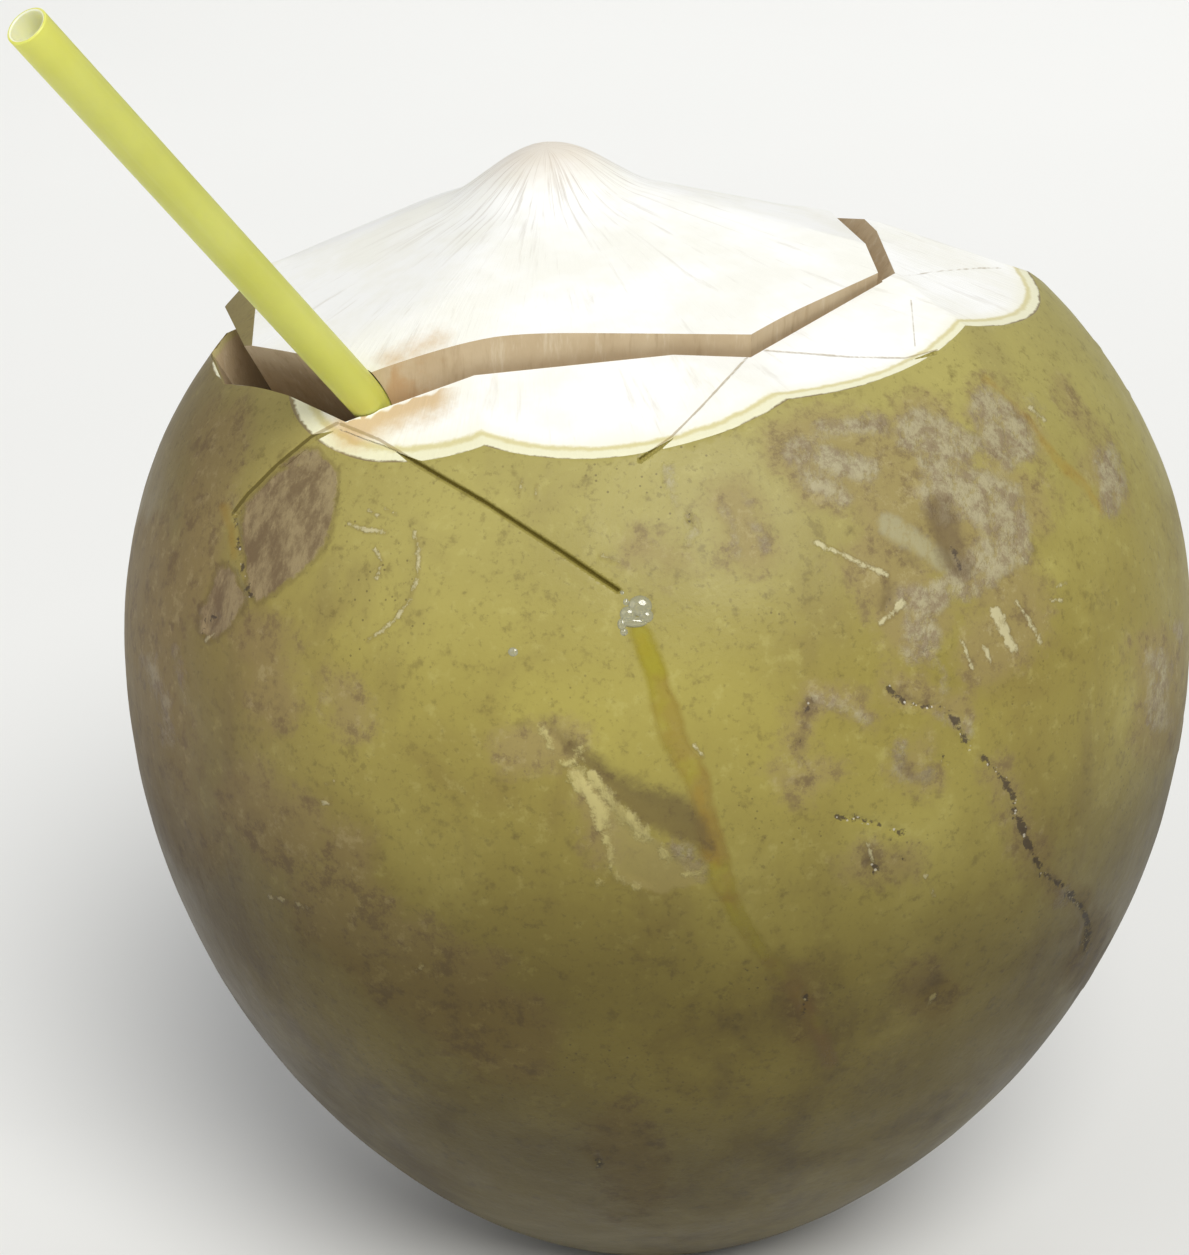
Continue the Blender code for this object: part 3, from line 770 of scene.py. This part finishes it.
class Finish:
    """A material being built, with short ways to add nodes."""

    def __init__(self, material):
        material.use_nodes = True
        self.tree = material.node_tree
        self.tree.nodes.clear()
        self.shader = self.add("ShaderNodeBsdfPrincipled")
        out = self.add("ShaderNodeOutputMaterial")
        self.join(self.shader.outputs[0], out.inputs["Surface"])
        self.place = self.add("ShaderNodeTexCoord").outputs["Object"]
        self.colour = None

    def add(self, kind, **settings):
        node = self.tree.nodes.new(kind)
        for name, value in settings.items():
            setattr(node, name, value)
        return node

    def join(self, source, socket):
        self.tree.links.new(source, socket)

    def feed(self, socket, value):
        if hasattr(value, "is_output"):
            self.join(value, socket)
        else:
            socket.default_value = value

    def fill(self, kind, **values):
        """A node with its named inputs given, and its first output."""
        node = self.add("ShaderNode" + kind)
        for name, value in values.items():
            self.feed(node.inputs[name], value)
        return node.outputs[0]

    def sum(self, kind, first, second=0.0, third=0.0, clamp=False):
        node = self.add("ShaderNodeMath", operation=kind, use_clamp=clamp)
        for socket, value in zip(node.inputs, (first, second, third)):
            self.feed(socket, value)
        return node.outputs[0]

    def times(self, first, second):
        return self.sum("MULTIPLY", first, second)

    def plus(self, value, extra, amount):
        return self.sum("MULTIPLY_ADD", extra, amount, value)

    def set(self, **values):
        """Give the shader's own inputs a number or a node's output: Base_Color is Base Color."""
        for name, value in values.items():
            self.feed(self.shader.inputs[name.replace("_", " ")], value)

    def mix(self, share, under, over, how="MIX"):
        node = self.add("ShaderNodeMix", data_type="RGBA", blend_type=how)
        self.feed(node.inputs["Factor"], share)
        self.feed(node.inputs[6], under)
        self.feed(node.inputs[7], over)
        return node.outputs[2]

    def begin(self, share, first, second):
        """Start the colour as a mix of two tones."""
        self.colour = self.mix(share, paint(*first), paint(*second))

    def over(self, share, strength, *tone, how="MIX"):
        """Lay one more tone over the colour so far."""
        share = share if strength == 1.0 else self.times(share, strength)
        self.colour = self.mix(share, self.colour, paint(*tone), how)

    def band(self, value, low, high, start=0.0, end=1.0):
        """A smooth step from start to end as the value goes from low to high."""
        node = self.add("ShaderNodeMapRange", interpolation_type="SMOOTHSTEP")
        for socket, number in zip(node.inputs, (value, low, high, start, end)):
            self.feed(socket, number)
        return node.outputs[0]

    def cloud(self, scale, detail=3.0, rough=0.55, where=None, twist=0.0):
        vector = where or self.place
        return self.fill(
            "TexNoise", Vector=vector, Scale=scale, Detail=detail, Roughness=rough, Distortion=twist)

    def cells(self, scale, where=None):
        return self.fill("TexVoronoi", Vector=where or self.place, Scale=scale)

    def stretched(self, scale, turn=(0.0, 0.0, 0.0), shift=(0.0, 0.0, 0.0), where=None):
        return self.fill("Mapping", Vector=where or self.place, Scale=scale, Rotation=turn, Location=shift)

    def stored(self, name):
        return self.add("ShaderNodeAttribute", attribute_name=name).outputs["Fac"]

    def bump(self, height, strength, distance):
        return self.fill("Bump", Height=height, Strength=strength, Distance=distance)

    def around(self, centre=(0.0, 0.0, 0.0), where=None):
        """Turn about the upright axis through a centre, and distance from it."""
        moved = self.stretched((1, 1, 1), shift=tuple(-c for c in centre), where=where)
        parts = self.add("ShaderNodeSeparateXYZ")
        self.join(moved, parts.inputs[0])
        turn = self.sum("ARCTAN2", parts.outputs[1], parts.outputs[0])
        across = self.sum("MULTIPLY", parts.outputs[0], parts.outputs[0])
        reach = self.sum("SQRT", self.sum("MULTIPLY_ADD", parts.outputs[1], parts.outputs[1], across))
        return turn, reach


print("paint mid green:", [round(c, 3) for c in paint(140, 130, 68)])

# %% [markdown]
# ## Green skin
# The skin of a young coconut is a waxy olive, with soft clouds, fine grain and many small dark specks.
# Light and shade are painted into it as well: painted light makes the top brighter, and painted
# shade makes it duller and browner towards the bottom and darker along both sides. The blemishes lie
# over it in the order that they happened: bruises first, then corky scars, cuts, and last the wet
# trail of water, which darkens the skin and makes it shine.

# %% Skin finish
SKIN_TONES = {"deep": (140, 127, 58), "bright": (168, 157, 78)}


def finish_skin(material):
    f = Finish(material)
    height = f.add("ShaderNodeSeparateXYZ")
    f.join(f.place, height.inputs[0])
    across, up = height.outputs[0], height.outputs[2]
    broad = f.cloud(13.0, 3.0, 0.55)
    clouds = f.cloud(42.0, 5.0, 0.62, twist=0.4)
    grain = f.cloud(330.0, 4.0, 0.7)
    dots = f.cloud(900.0, 3.0, 0.7)
    down_the_side = f.cloud(75.0, 4.0, 0.6, where=f.stretched((1.0, 1.0, 0.22)))
    ragged = f.sum("SUBTRACT", f.cloud(520.0, 5.0, 0.7), 0.5)
    broad_ragged = f.sum("SUBTRACT", f.cloud(120.0, 6.0, 0.72), 0.5)
    flecked = f.cloud(640.0, 4.0, 0.75, where=f.stretched((1.0, 0.45, 0.7), turn=(0.3, 0.0, 0.9)))

    def edge(kind, noise, amount, low, high):
        return f.band(f.plus(f.stored(kind), noise, amount), low, high)

    f.begin(f.band(broad, 0.35, 0.68), SKIN_TONES["deep"], SKIN_TONES["bright"])
    f.over(f.band(clouds, 0.50, 0.74), 0.50, 120, 101, 50)
    f.over(f.band(clouds, 0.47, 0.28), 0.40, 178, 168, 92)
    f.over(f.band(down_the_side, 0.54, 0.76), 0.36, 112, 93, 54)
    # Painted light: a brighter, yellower tone over the top of the fruit.
    f.over(f.band(up, 0.120, 0.165), 0.40, 180, 172, 112)
    smudge = f.cloud(20.0, 7.0, 0.74, where=f.stretched((1.0, 1.0, 0.6)))
    f.over(f.times(f.band(smudge, 0.52, 0.66), f.band(up, 0.125, 0.070)), 0.50, 104, 84, 46)
    # Painted shade: a browner, darker tone along the left side.
    f.over(f.band(across, -0.040, -0.080), 0.50, 112, 92, 66)
    f.over(f.band(grain, 0.54, 0.72), 0.42, 96, 80, 40)
    f.over(f.band(grain, 0.45, 0.28), 0.24, 190, 182, 112)
    f.over(f.band(dots, 0.56, 0.70), 0.30, 84, 70, 36)
    specks = f.band(f.cells(700.0), 0.16, 0.08)
    specks = f.times(specks, f.band(f.cloud(55.0, 2.0), 0.52, 0.66))
    f.over(specks, 0.55, 74, 58, 34)

    bruise = edge("bruise", broad_ragged, 13.0, -3.2, 1.8)
    f.over(bruise, 0.62, 146, 128, 84)
    spots = f.times(bruise, f.band(f.cloud(240.0, 6.0, 0.78), 0.49, 0.64))
    f.over(spots, 0.62, 108, 88, 60)
    light = f.times(bruise, f.band(f.cloud(330.0, 6.0, 0.78), 0.47, 0.34))
    f.over(light, 0.45, 172, 158, 112)
    rubbed = f.times(edge("rubbed", broad_ragged, 5.0, -0.6, 0.9), f.band(flecked, 0.34, 0.52, 0.5, 1.0))
    f.over(rubbed, 0.80, 164, 157, 120)
    dent = edge("dent", broad_ragged, 9.0, -0.6, 2.4)

    peeled = edge("peeled", broad_ragged, 4.2, -0.22, 0.50)
    lengths = f.cloud(300.0, 5.0, 0.75, where=f.stretched((1.0, 1.0, 0.35), turn=(0.0, 0.25, 0.0)))
    inner = f.mix(f.band(lengths, 0.38, 0.64), paint(118, 99, 72), paint(160, 144, 106))
    inner = f.mix(f.band(lengths, 0.60, 0.74, 0.0, 0.7), inner, paint(98, 78, 62))
    f.colour = f.mix(f.times(peeled, 0.92), f.colour, inner)
    # Painted shadow: a dark rim along the edge of the peeled patch.
    lip = f.times(edge("peeled", broad_ragged, 4.2, -0.90, -0.10), f.sum("SUBTRACT", 1.0, peeled))
    f.over(lip, 0.35, 92, 72, 40)

    cork = edge("cork", broad_ragged, 7.0, -0.7, 1.3)
    cork = f.times(cork, f.band(flecked, 0.36, 0.52, 0.34, 1.0))
    corky = f.mix(f.band(f.cloud(300.0, 5.0, 0.78), 0.40, 0.60), paint(138, 122, 96), paint(172, 163, 130))
    f.colour = f.mix(f.times(cork, 0.82), f.colour, corky)
    f.over(dent, 0.72, 104, 86, 58)
    f.over(edge("amber", broad_ragged, 3.2, -0.3, 0.8), 0.42, 160, 128, 36)
    wet = edge("wet", broad_ragged, 3.0, -0.7, 0.8)
    rim = f.times(wet, edge("wet", broad_ragged, 3.0, 1.2, 0.1))
    soaked = f.mix(f.band(f.cloud(95.0, 3.0, 0.6), 0.42, 0.60), paint(150, 140, 34), paint(136, 108, 38))
    soaking = f.band(f.cloud(70.0, 3.0, 0.6), 0.34, 0.58, 0.40, 0.80)
    f.colour = f.mix(f.times(wet, soaking), f.colour, soaked)
    f.over(rim, 0.30, 118, 98, 34)

    flap = edge("flap", ragged, 2.2, -0.1, 0.8)
    f.over(flap, 0.55, 158, 144, 92)
    tear = edge("tear", broad_ragged, 7.0, -1.5, 1.5)
    f.over(tear, 0.80, 106, 90, 50)
    f.over(f.times(tear, f.band(grain, 0.50, 0.66)), 0.6, 88, 70, 42)
    fringe = edge("fringe", ragged, 5.5, -0.30, 0.80)
    fringe = f.times(fringe, f.band(lengths, 0.36, 0.54, 0.35, 1.0))
    f.over(fringe, 0.80, 190, 179, 118)

    # Painted shadow: a thin brown edge round each pale scratch, as if cast by it.
    f.over(edge("pale", ragged, 1.2, -0.40, 0.02), 0.24, 112, 92, 48)
    pale = edge("pale", ragged, 2.8, -0.10, 0.34)
    f.over(f.times(pale, f.band(flecked, 0.30, 0.46, 0.60, 1.0)), 0.85, 196, 188, 146)
    crack = edge("dark", ragged, 4.2, -0.04, 0.34)
    f.over(crack, 0.82, 66, 54, 42)
    chalk = f.times(edge("dark", ragged, 1.4, -0.25, 0.15), f.band(f.cells(1000.0), 0.26, 0.14))
    f.over(chalk, 0.85, 206, 200, 184)
    slit = edge("slit", ragged, 0.32, -0.07, 0.08)
    f.over(edge("slit", ragged, 0.5, -0.32, 0.02), 0.35, 150, 138, 60)
    f.over(slit, 0.85, 96, 84, 24)

    # Painted shade, multiplied in: darker and browner towards the bottom, on the lower right side and on
    # the left side.
    f.over(f.band(up, 0.122, 0.074), 1.0, 160, 152, 118, how="MULTIPLY")
    f.over(f.band(up, 0.070, 0.045), 1.0, 218, 214, 196, how="MULTIPLY")
    shaded = f.times(f.band(across, 0.035, 0.080), f.band(up, 0.115, 0.060))
    f.over(shaded, 1.0, 196, 190, 186, how="MULTIPLY")
    f.over(f.band(across, -0.020, -0.080), 1.0, 222, 214, 216, how="MULTIPLY")
    rough = f.band(clouds, 0.3, 0.7, 0.42, 0.56)
    rough = f.plus(rough, f.sum("MAXIMUM", cork, bruise), 0.14)
    rough = f.sum("SUBTRACT", rough, f.times(wet, 0.28), clamp=True)
    f.set(Base_Color=f.colour, Roughness=rough)
    f.set(Specular_IOR_Level=0.32, Coat_Weight=0.05, Coat_Roughness=0.30)
    relief = f.plus(f.times(down_the_side, 0.6), grain, 0.45)
    relief = f.plus(relief, f.times(cork, flecked), 1.4)
    relief = f.plus(relief, f.times(peeled, lengths), 0.8)
    relief = f.plus(relief, slit, -0.8)
    relief = f.plus(relief, f.sum("MAXIMUM", pale, fringe), 0.8)
    f.set(Normal=f.bump(relief, 0.40, 0.0006))


finish_skin(SKIN)
print("green skin:", len(SKIN.node_tree.nodes), "nodes")

# %% [markdown]
# ## Shaved faces
# Under the thin dark skin lies a cream layer, then an olive line, then cream that fades into
# fibre, which is white while it is fresh. How deep a point lies below the skin is stored on
# the mesh, so the bands follow every shave exactly. The fibre runs outward from the stalk, so
# the faint grey streaks do too: a noise is read with the turn about the stalk stretched and
# the distance squeezed.

# %% Shaved finish
def finish_shaved(material, stalk, settled=None):
    f = Finish(material)
    if settled is not None:
        back = settled.inverted()
        f.place = f.stretched((1, 1, 1), turn=tuple(back.to_euler()), shift=tuple(back.translation))
    turn, reach = f.around(stalk)
    coarse = f.fill("CombineXYZ", X=f.times(turn, 26.0), Y=f.times(reach, 60.0))
    fine = f.fill("CombineXYZ", X=f.times(turn, 110.0), Y=f.times(reach, 90.0))
    streaks = f.cloud(1.0, 5.0, 0.65, where=coarse, twist=0.3)
    threads = f.cloud(1.0, 3.0, 0.7, where=fine)
    clouds = f.cloud(60.0, 4.0, 0.6)
    ragged = f.sum("SUBTRACT", f.cloud(330.0, 4.0, 0.7), 0.5)
    depth = f.plus(f.stored("depth"), ragged, 0.5)

    f.begin(f.band(clouds, 0.35, 0.65), (252, 252, 249), (244, 243, 234))
    f.over(f.band(streaks, 0.56, 0.74), 0.42, 206, 200, 186)
    f.over(f.band(threads, 0.60, 0.78), 0.22, 190, 184, 168)
    near_knob = f.times(f.band(streaks, 0.50, 0.64), f.band(reach, 0.030, 0.009))
    f.over(near_knob, 0.55, 196, 188, 178)
    f.over(f.band(f.plus(reach, ragged, 0.004), 0.013, 0.003), 0.50, 214, 196, 170)
    f.over(f.band(depth, 2.4, 1.2), 0.45, 240, 236, 208)
    f.over(f.band(depth, 1.55, 1.25), 0.75, 204, 192, 118)
    f.over(f.band(depth, 1.20, 0.95), 0.85, 236, 234, 204)
    f.over(f.band(depth, 0.60, 0.44), 0.90, 116, 96, 50)
    f.over(f.band(f.plus(f.stored("amber"), ragged, 4.0), -2.0, 2.6), 0.80, 206, 172, 116)
    slit = f.band(f.plus(f.stored("slit"), ragged, 0.3), -0.08, 0.10)
    f.over(slit, 0.62, 150, 126, 74)
    f.set(Base_Color=f.colour, Roughness=f.band(clouds, 0.3, 0.7, 0.46, 0.66))
    f.set(Specular_IOR_Level=0.38, Sheen_Weight=0.10, Sheen_Roughness=0.5)
    relief = f.plus(f.plus(f.times(streaks, 0.5), threads, 0.7), slit, -0.7)
    f.set(Normal=f.bump(relief, 0.30, 0.0005))


finish_shaved(SHAVED, (*KNOB_PLACE, 0.0))
finish_shaved(SHAVED_LID, (*KNOB_PLACE, 0.0), LID_SETTLE)
print("shaved faces:", len(SHAVED.node_tree.nodes), "nodes")

# %% [markdown]
# ## Chopped walls
# The steep chops went through the husk across its fibres. They dry first and turn a warm
# tan, with fibre ends that show as short upright threads. Low down in the mouth they are darker
# with painted shade.

# %% Chopped wall finish
def finish_chopped(material):
    f = Finish(material)
    parts = f.add("ShaderNodeSeparateXYZ")
    f.join(f.place, parts.inputs[0])
    upright = f.stretched((1.0, 1.0, 0.13))
    threads = f.cloud(520.0, 4.0, 0.7, where=upright)
    clouds = f.cloud(90.0, 4.0, 0.6)
    ragged = f.sum("SUBTRACT", f.cloud(380.0, 4.0, 0.7), 0.5)
    depth = f.plus(f.stored("depth"), ragged, 1.0)
    f.begin(f.band(clouds, 0.35, 0.68), (200, 180, 147), (188, 166, 132))
    f.over(f.band(threads, 0.52, 0.72), 0.45, 160, 134, 100)
    f.over(f.band(threads, 0.46, 0.30), 0.35, 226, 214, 188)
    # Painted shade: darker low down, deep in the mouth.
    f.over(f.band(parts.outputs[2], 0.150, 0.120), 0.45, 140, 112, 80)
    f.over(f.band(depth, 1.6, 0.9), 0.80, 196, 186, 128)
    f.over(f.band(depth, 0.62, 0.36), 1.0, 120, 106, 60)
    f.over(f.band(f.plus(f.stored("amber"), ragged, 3.0), -0.3, 1.2), 0.60, 186, 142, 92)
    f.set(Base_Color=f.colour, Roughness=f.band(clouds, 0.3, 0.7, 0.58, 0.74))
    f.set(Specular_IOR_Level=0.30, Normal=f.bump(threads, 0.40, 0.0005))


finish_chopped(CHOPPED)
print("chopped walls:", len(CHOPPED.node_tree.nodes), "nodes")

# %% [markdown]
# ## Flesh of the hollow
# Inside is the young flesh: smooth, milky and wet. It is hardly seen past the lid, but the
# gaps beside the straw do show it, and the model is looked at from all sides.

# %% Flesh finish
def finish_flesh(material):
    f = Finish(material)
    clouds = f.cloud(70.0, 4.0, 0.6)
    veins = f.cloud(210.0, 4.0, 0.7, twist=0.8)
    f.begin(f.band(clouds, 0.35, 0.7), (244, 242, 236), (226, 222, 210))
    f.over(f.band(veins, 0.58, 0.72), 0.30, 206, 200, 184)
    f.set(Base_Color=f.colour, Roughness=f.band(clouds, 0.3, 0.7, 0.22, 0.34))
    f.set(Normal=f.bump(veins, 0.2, 0.0005))


finish_flesh(FLESH)
print("flesh:", len(FLESH.node_tree.nodes), "nodes")

# %% [markdown]
# ## Straw plastic
# Thin coloured plastic lets some light through, so it glows a little where it is thin. A
# subtle cloudiness and long drawing lines keep it from looking like paint. The inside of the
# bore is painted near white: painted light.

# %% Straw finish
def finish_straw(material):
    f = Finish(material)
    back = STRAW_PLACE.inverted()
    lengthwise = f.stretched((1, 1, 1), turn=tuple(back.to_euler()), shift=tuple(back.translation))
    _, reach = f.around(where=lengthwise)
    lines = f.cloud(900.0, 2.0, 0.5, where=f.stretched((1.0, 1.0, 0.03), where=lengthwise))
    clouds = f.cloud(45.0, 3.0, 0.5)
    f.begin(f.band(clouds, 0.35, 0.65), (222, 222, 112), (212, 212, 98))
    f.over(f.band(lines, 0.55, 0.75), 0.15, 230, 230, 150)
    # Painted light: the inner wall of the bore is near white, as if lit.
    f.over(f.band(reach, STRAW_BORE + 0.00028, STRAW_BORE + 0.00012), 1.0, 248, 248, 208)
    f.set(Base_Color=f.colour, Roughness=f.band(lines, 0.3, 0.7, 0.38, 0.46))
    f.set(Subsurface_Weight=0.75, Subsurface_Radius=(1.0, 0.9, 0.3), Subsurface_Scale=0.002)
    f.set(Specular_IOR_Level=0.5, Normal=f.bump(lines, 0.03, 0.0002))


finish_straw(STRAW)
print("straw:", len(STRAW.node_tree.nodes), "nodes")

# %% [markdown]
# ## Fields on the finished meshes
# The shaders read two things that geometry knows best: how deep a point lies below the skin,
# and how far it is inside each kind of blemish. They are worked out once the cuts are done,
# so that the new edges have exact values too.


# %% Store depth and blemishes
def store(piece, name, values):
    layer = piece.data.attributes.new(name, "FLOAT", "POINT")
    layer.data.foreach_set("value", np.asarray(values, np.float32))


def read_points(piece, name):
    """Places or normals of all points, one row each."""
    values = np.empty(len(piece.data.vertices) * 3)
    piece.data.vertices.foreach_get(name, values)
    return values.reshape(-1, 3)


def write_fields(piece, kinds, settled=None):
    """Depth below the uncut skin in millimetres, and the blemish fields."""
    place = read_points(piece, "co")
    outward = read_points(piece, "normal")
    grown = place
    if settled is not None:
        back = np.array(settled.inverted())
        grown = place @ back[:3, :3].T + back[:3, 3]
    height = grown[:, 2] - EQUATOR_HEIGHT
    turn = np.arctan2(grown[:, 0], -grown[:, 1])
    step = 0.0002
    radius = fruit_radius(height, turn)
    slope = (fruit_radius(height + step, turn) - fruit_radius(height - step, turn)) / (2 * step)
    gap = (radius - np.hypot(grown[:, 0], grown[:, 1])) / np.sqrt(1 + slope**2)
    store(piece, "depth", 1000 * gap)
    for kind in (*STROKES, *PATCHES):
        if kind in kinds:
            store(piece, kind, blemish_field(place, outward, kind, 12.0 if kind == "bruise" else 4.0))
        else:
            store(piece, kind, np.full(len(place), -12.0))
    return len(place)


print("husk points:", write_fields(husk, (*STROKES, *PATCHES)))
print("lid points:", write_fields(lid, {"amber"}, LID_SETTLE))

# %% [markdown]
# ## Drops of water
# Water that ran down from the straw left one fat drop and a few beads. A drop is a ball
# pressed flat against the skin, so its edge meets the skin at a low angle.


# %% Drops
def skin_point(pixel):
    """Where the line of sight through a picture point first meets the uncut fruit."""
    across = (pixel[0] - PICTURE[0] / 2) / FOCAL_PIXELS
    down = (pixel[1] - PICTURE[1] / 2) / FOCAL_PIXELS
    ahead = Vector((0.0, math.cos(LOOK_DOWN), -math.sin(LOOK_DOWN)))
    above = Vector((0.0, math.sin(LOOK_DOWN), math.cos(LOOK_DOWN)))
    ray = (ahead + across * Vector((1, 0, 0)) - down * above).normalized()
    hit, place, normal, _ = husk.ray_cast(EYE, ray)
    return place, normal


DROPS = (
    ((640, 606), 1.7, 1.5, 0.75), ((628, 614), 1.2, 1.1, 0.65), ((634, 622), 1.9, 0.8, 0.70),
    ((646, 616), 1.1, 1.0, 0.60), ((622, 624), 0.7, 0.9, 0.50), ((624, 632), 0.6, 0.6, 0.45),
    ((626, 602), 0.5, 0.6, 0.35), ((621, 592), 0.4, 0.4, 0.30), ((513, 652), 0.8, 0.7, 0.45),
)
drops = bmesh.new()
for pixel, wide, tall, thick in DROPS:
    place, normal = skin_point(pixel)
    made = bmesh.ops.create_icosphere(drops, subdivisions=4, radius=0.001)
    turn = normal.to_track_quat("Z", "Y").to_matrix().to_4x4()
    size = Matrix.Diagonal((wide, tall, thick, 1.0))
    bmesh.ops.transform(
        drops, verts=made["verts"], matrix=Matrix.Translation(place - normal * 0.0002) @ turn @ size)
WATER = bpy.data.materials.new("clear_water")
water = make_piece("water_drops", drops, [WATER])
print("drops:", len(water.data.polygons), "faces")

# %% Water finish
f = Finish(WATER)
f.begin(f.cloud(200.0), (214, 212, 180), (196, 192, 150))
f.set(Base_Color=f.colour, Roughness=f.band(f.cloud(300.0), 0.3, 0.7, 0.02, 0.06))
f.set(Transmission_Weight=0.55, Coat_Weight=1.0, Coat_Roughness=0.02, IOR=1.333)
print("water ready")

# %% [markdown]
# ## Joining the frame
# Each dressed piece takes the place of its solid and rides on the one body.

# %% Ride and replace
for piece, node, slot in (
    (husk, "husk", "green_husk"),
    (lid, "lid", "shaved_husk"),
    (straw, "straw", "straw_plastic"),
):
    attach(piece, "root")
    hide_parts(node)
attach(water, "root")
print("pieces:", [o.name for o in (husk, lid, straw, water)])

# %% [markdown]
# ## Studio
# A pale floor that curves up behind would show an edge of shade, so the floor is one wide
# sheet under an even, nearly white sky. A soft sun from above and in front is the key light,
# as in the photo. Two dim lamps open the shade at the left front and draw the far rim.

# %% Floor, lights and world
bm = bmesh.new()
bmesh.ops.create_grid(bm, x_segments=8, y_segments=8, size=3.0)
bmesh.ops.translate(bm, verts=bm.verts[:], vec=(0, 0, -0.0001))
FLOOR = bpy.data.materials.new("studio_floor_paint")
floor = make_piece("studio_floor", bm, [FLOOR])
f = Finish(FLOOR)
f.begin(f.cloud(3.0), (238, 238, 236), (234, 234, 232))
f.set(Base_Color=f.colour, Roughness=0.8)


def soft_light(name, place, size, watts, colour=(1, 1, 1)):
    lamp = bpy.data.lights.new(name, "AREA")
    lamp.shape, lamp.size, lamp.energy, lamp.color = "DISK", size, watts, colour
    item = bpy.data.objects.new(name, lamp)
    item.location = place
    aim = Vector((0, 0, 0.1)) - Vector(place)
    item.rotation_euler = aim.to_track_quat("-Z", "Y").to_euler()
    bpy.context.scene.collection.objects.link(item)


soft_light("fill", (-0.8, -0.6, 0.7), 0.9, 2.0)
soft_light("rear", (0.2, 1.1, 0.9), 0.9, 3.0)
sun = bpy.data.lights.new("key", "SUN")
sun.energy = 2.5
sun.angle = math.radians(32)
sun.color = (1.0, 0.99, 0.96)
key = bpy.data.objects.new("key", sun)
key.rotation_euler = (math.radians(42), 0.0, math.radians(16))
bpy.context.scene.collection.objects.link(key)
world = bpy.data.worlds.new("studio_air")
bpy.context.scene.world = world
world.use_nodes = True
air = world.node_tree.nodes["Background"]
air.inputs["Color"].default_value = (0.95, 0.97, 1.0, 1.0)
air.inputs["Strength"].default_value = 0.30
bpy.context.scene.view_settings.view_transform = "Standard"
print("studio ready")
